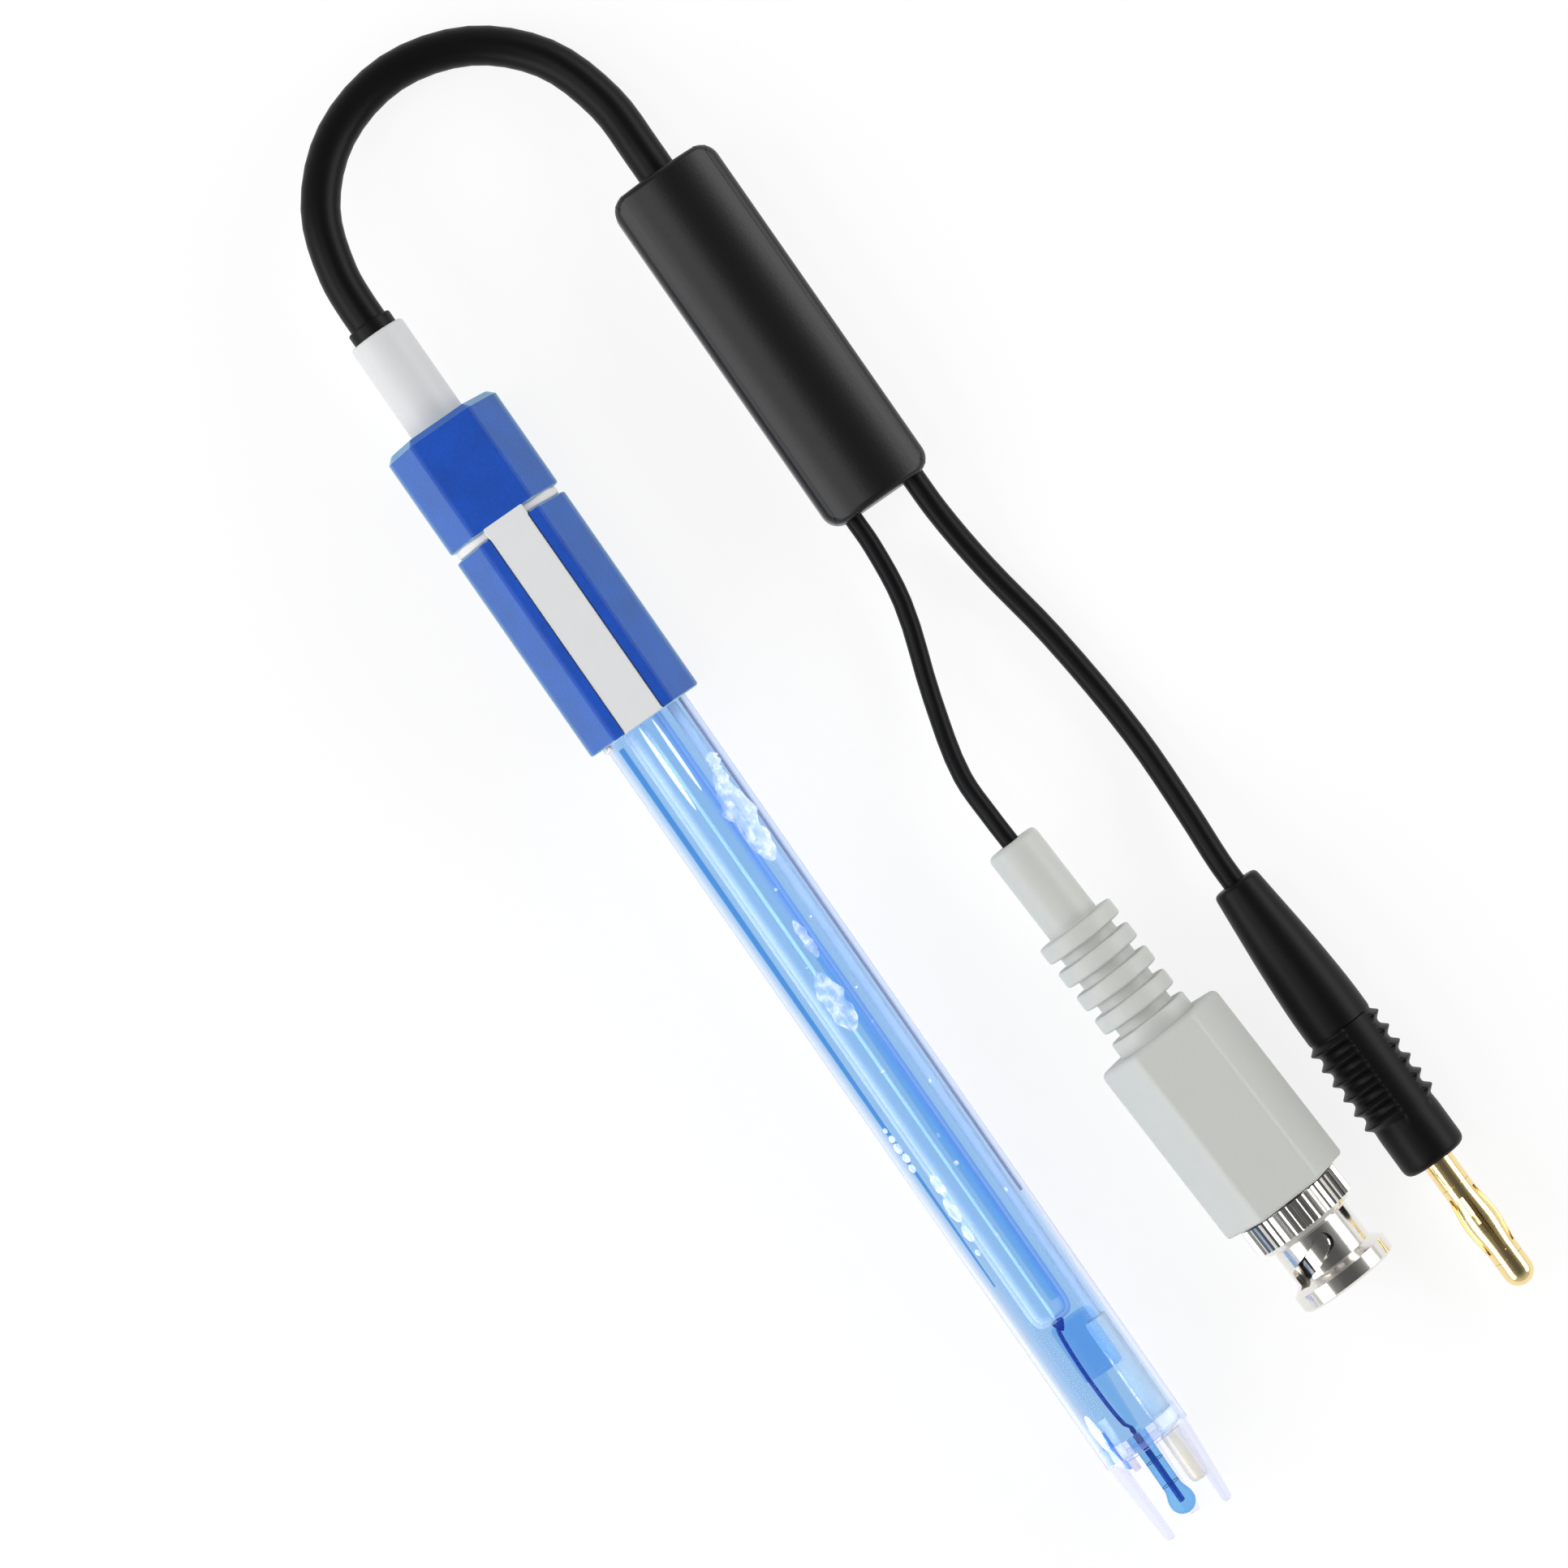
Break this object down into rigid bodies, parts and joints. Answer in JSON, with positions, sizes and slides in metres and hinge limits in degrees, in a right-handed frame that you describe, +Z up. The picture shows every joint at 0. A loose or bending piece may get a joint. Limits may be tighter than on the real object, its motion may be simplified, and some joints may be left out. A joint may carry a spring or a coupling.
{
  "type": "combination ph and temperature probe",
  "caption": "Laboratory pH electrode with built-in temperature sensor: clear shaft, hexagonal head, cable, splitter, bayonet plug and banana plug.",
  "frame": {"origin": "on the bench under the middle of the lying electrode, measured without the cable and what is on it", "axes": "+X from the cable end to the tip of the shaft, +Z up, +Y towards the cable's loop and plugs"},
  "size_m": [0.2067, 0.0625, 0.0156],
  "materials": {
    "black_rubber": "matt moulded rubber",
    "cable_jacket": "matt extruded jacket",
    "white_plastic": "matt white moulding",
    "blue_plastic": "satin blue moulding with a fine texture",
    "clear_plastic": "clear polished tube",
    "glass": "clear glass",
    "gel": "clear blue gel",
    "resin": "clear potting",
    "ivory": "glazed ivory",
    "ceramic": "porous ceramic",
    "wire": "dark blue enamel",
    "bead": "dark blue glass",
    "silver": "drawn silver",
    "lead_sheath": "thin grey-violet sheath",
    "black_plastic": "satin black moulding",
    "grey_plastic": "satin warm grey moulding",
    "copper": "tinned copper",
    "nickel": "bright nickel plate",
    "steel": "spring steel",
    "gold": "gold plate",
    "red_rubber": "silicone rubber"
  },
  "bodies": {
    "probe": {"cable_seal": "black_rubber", "cable_sleeve": "white_plastic", "cap_nut": "blue_plastic", "head_insert": "white_plastic", "head_body": "blue_plastic", "cable_cores": "black_rubber", "potting": "resin", "shaft": "clear_plastic", "inner_tube": "glass", "signal_wire": "wire", "wire_bead": "bead", "reference_wire": "silver", "temperature_leads": "lead_sheath", "reference_gel": "gel", "end_disc": "resin", "glass_bulb": "glass", "buffer_fill": "gel", "temperature_finger": "ivory", "junction_pin": "ceramic", "fill_plug": "blue_plastic", "main_cable": "cable_jacket", "splitter_shell": "black_plastic", "splitter_base": "grey_plastic", "wire_splices": "copper", "bnc_lead": "cable_jacket", "banana_lead": "cable_jacket", "bnc_boot": "grey_plastic", "crimp_ferrule": "nickel", "bnc_body": "nickel", "insulator": "white_plastic", "centre_pin": "gold", "gasket": "red_rubber", "spring_washer": "steel", "banana_boot": "black_rubber", "banana_pin": "gold"},
    "nut_float": {"retaining_ring": "steel"},
    "nut": {"coupling_nut": "nickel"},
    "contact_spring": {"lantern_spring": "gold"}
  },
  "joints": [
    {"name": "nut_travel", "type": "slide", "parent": "probe", "child": "nut_float", "axis": [0.9986, 0.0523, 0], "range_m": [0, 0.0008], "stiffness_N_per_m": 8000, "springref_m": -0.0006},
    {"name": "nut_turn", "type": "hinge", "parent": "nut_float", "child": "nut", "pos_m": [0.06962, 0.03173, 0.0078], "axis": [0.9986, 0.0523, 0], "continuous": true},
    {"name": "contact_spring_turn", "type": "hinge", "parent": "probe", "child": "contact_spring", "pos_m": [0.07948, 0.04976, 0.0052], "axis": [0.9997, 0.0244, 0], "continuous": true}
  ]
}
